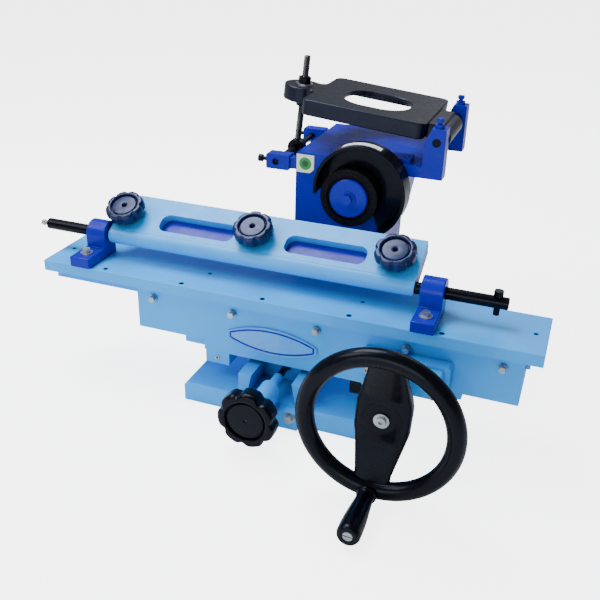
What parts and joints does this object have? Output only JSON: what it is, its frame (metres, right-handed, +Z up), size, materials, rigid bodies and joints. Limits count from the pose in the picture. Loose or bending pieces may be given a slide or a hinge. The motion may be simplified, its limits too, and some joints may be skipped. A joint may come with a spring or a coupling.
{
  "type": "surface grinder",
  "caption": "Small bench blade grinder: long sliding table with a hinged blade clamp, cross-feed saddle, dished handwheel, fixed head with guarded wheel and hinged motor plate.",
  "frame": {"origin": "middle of the base's bottom face, on the bench", "axes": "+X along the table to the operator's right, +Y away from the operator, +Z up"},
  "size_m": [0.7415, 0.6153, 0.4343],
  "materials": {
    "light_paint": "satin light blue machine paint",
    "blue_paint": "gloss royal blue enamel",
    "black_gloss": "gloss black enamel and moulding",
    "zinc": "zinc plated fasteners",
    "steel": "ground and turned steel",
    "badge": "bright raised oval plate, text left out",
    "label": "blank printed label stock",
    "bronze": "machined bronze",
    "abrasive": "dark bonded abrasive"
  },
  "bodies": {
    "stand": {"base": "light_paint", "infeed_bearing": "light_paint", "infeed_bolts": "zinc", "column": "blue_paint", "head": "blue_paint", "hinge_pin": "black_gloss", "rod_pin": "black_gloss", "lug_screws": "black_gloss", "top_screws": "blue_paint", "guard": "black_gloss", "guard_label": "label", "sticker": "label"},
    "cross_slide": {"saddle": "light_paint", "table_gib": "steel", "gib_screws": "zinc", "keeper_block": "light_paint", "keeper_screw": "zinc", "stop_block": "black_gloss", "badge": "badge", "pinion_housing": "light_paint", "housing_cover": "light_paint", "housing_screws": "zinc", "infeed_nut": "bronze"},
    "table_slide": {"table": "light_paint", "table_screws": "black_gloss", "rack": "steel", "brackets": "blue_paint", "bracket_bolts": "zinc"},
    "clamp": {"clamp_shaft": "black_gloss", "tip_screw": "zinc", "cross_screw": "black_gloss", "hinge_bar": "light_paint", "lower_jaw": "blue_paint", "clamp_plate": "light_paint"},
    "knob_left": {"clamp_knob_left": "black_gloss"},
    "knob_middle": {"clamp_knob_middle": "black_gloss"},
    "knob_right": {"clamp_knob_right": "black_gloss"},
    "table_drive": {"pinion": "steel", "handwheel": "black_gloss", "hub_screw": "zinc", "grip_pin": "steel"},
    "wheel_grip": {"grip": "black_gloss"},
    "infeed": {"infeed_screw": "steel", "infeed_knob": "black_gloss"},
    "spindle_set": {"spindle": "steel", "grinding_wheel": "abrasive", "wheel_flange": "blue_paint", "spindle_bolt": "blue_paint", "pulley": "steel"},
    "motor_mount": {"motor_plate": "black_gloss", "rod_washer": "zinc"},
    "rod": {"eye_rod": "black_gloss"},
    "nut_upper": {"upper_nut": "black_gloss"},
    "nut_lower": {"lower_nut": "black_gloss"}
  },
  "joints": [
    {"name": "cross_feed", "type": "slide", "parent": "stand", "child": "cross_slide", "axis": [0, 1, 0], "range_m": [-0.025, 0.02]},
    {"name": "table_travel", "type": "slide", "parent": "cross_slide", "child": "table_slide", "axis": [1, 0, 0], "range_m": [-0.125, 0.32]},
    {"name": "handwheel_turn", "type": "hinge", "parent": "cross_slide", "child": "table_drive", "pos_m": [0.177, -0.27, 0.108], "axis": [0, 1, 0], "range_deg": [-450, 1150]},
    {"name": "grip_spin", "type": "hinge", "parent": "table_drive", "child": "wheel_grip", "pos_m": [0.17234, -0.34, 0.01912], "axis": [0, 1, 0], "continuous": true},
    {"name": "infeed_turn", "type": "hinge", "parent": "stand", "child": "infeed", "pos_m": [0, -0.22, 0.05], "axis": [0, 1, 0], "range_deg": [-1445, 1805]},
    {"name": "clamp_tilt", "type": "hinge", "parent": "table_slide", "child": "clamp", "pos_m": [-0.056, -0.112, 0.198], "axis": [1, 0, 0], "range_deg": [-15, 35]},
    {"name": "spindle_spin", "type": "hinge", "parent": "stand", "child": "spindle_set", "pos_m": [0.0415, 0.1, 0.266], "axis": [0, 1, 0], "continuous": true},
    {"name": "plate_tilt", "type": "hinge", "parent": "stand", "child": "motor_mount", "pos_m": [0.152, 0.109, 0.351], "axis": [0, 1, 0], "range_deg": [-2, 2]},
    {"name": "rod_lean", "type": "hinge", "parent": "stand", "child": "rod", "pos_m": [-0.08, 0.109, 0.2956], "axis": [0, 1, 0], "range_deg": [-0.5, 0.5]},
    {"name": "knob_turn_left", "type": "hinge", "parent": "clamp", "child": "knob_left", "pos_m": [-0.2638, -0.08551, 0.21208], "axis": [0, -0.4695, 0.8829], "range_deg": [-90, 540]},
    {"name": "knob_turn_middle", "type": "hinge", "parent": "clamp", "child": "knob_middle", "pos_m": [-0.0643, -0.08551, 0.21208], "axis": [0, -0.4695, 0.8829], "range_deg": [-90, 540]},
    {"name": "knob_turn_right", "type": "hinge", "parent": "clamp", "child": "knob_right", "pos_m": [0.1352, -0.08551, 0.21208], "axis": [0, -0.4695, 0.8829], "range_deg": [-90, 540]},
    {"name": "rod_nut_turn_upper", "type": "hinge", "parent": "motor_mount", "child": "nut_upper", "pos_m": [-0.07258, 0.109, 0.37262], "axis": [0.0958, 0, 0.9954], "continuous": true},
    {"name": "rod_nut_turn_lower", "type": "hinge", "parent": "motor_mount", "child": "nut_lower", "pos_m": [-0.07258, 0.109, 0.37262], "axis": [0.0958, 0, 0.9954], "continuous": true}
  ],
  "couplings": [
    {"joint": "handwheel_turn", "follows": "table_travel", "rad_per_m": 62.5},
    {"joint": "infeed_turn", "follows": "cross_feed", "rad_per_m": -1256.6},
    {"joint": "rod_lean", "follows": "plate_tilt", "ratio": 0.095}
  ]
}
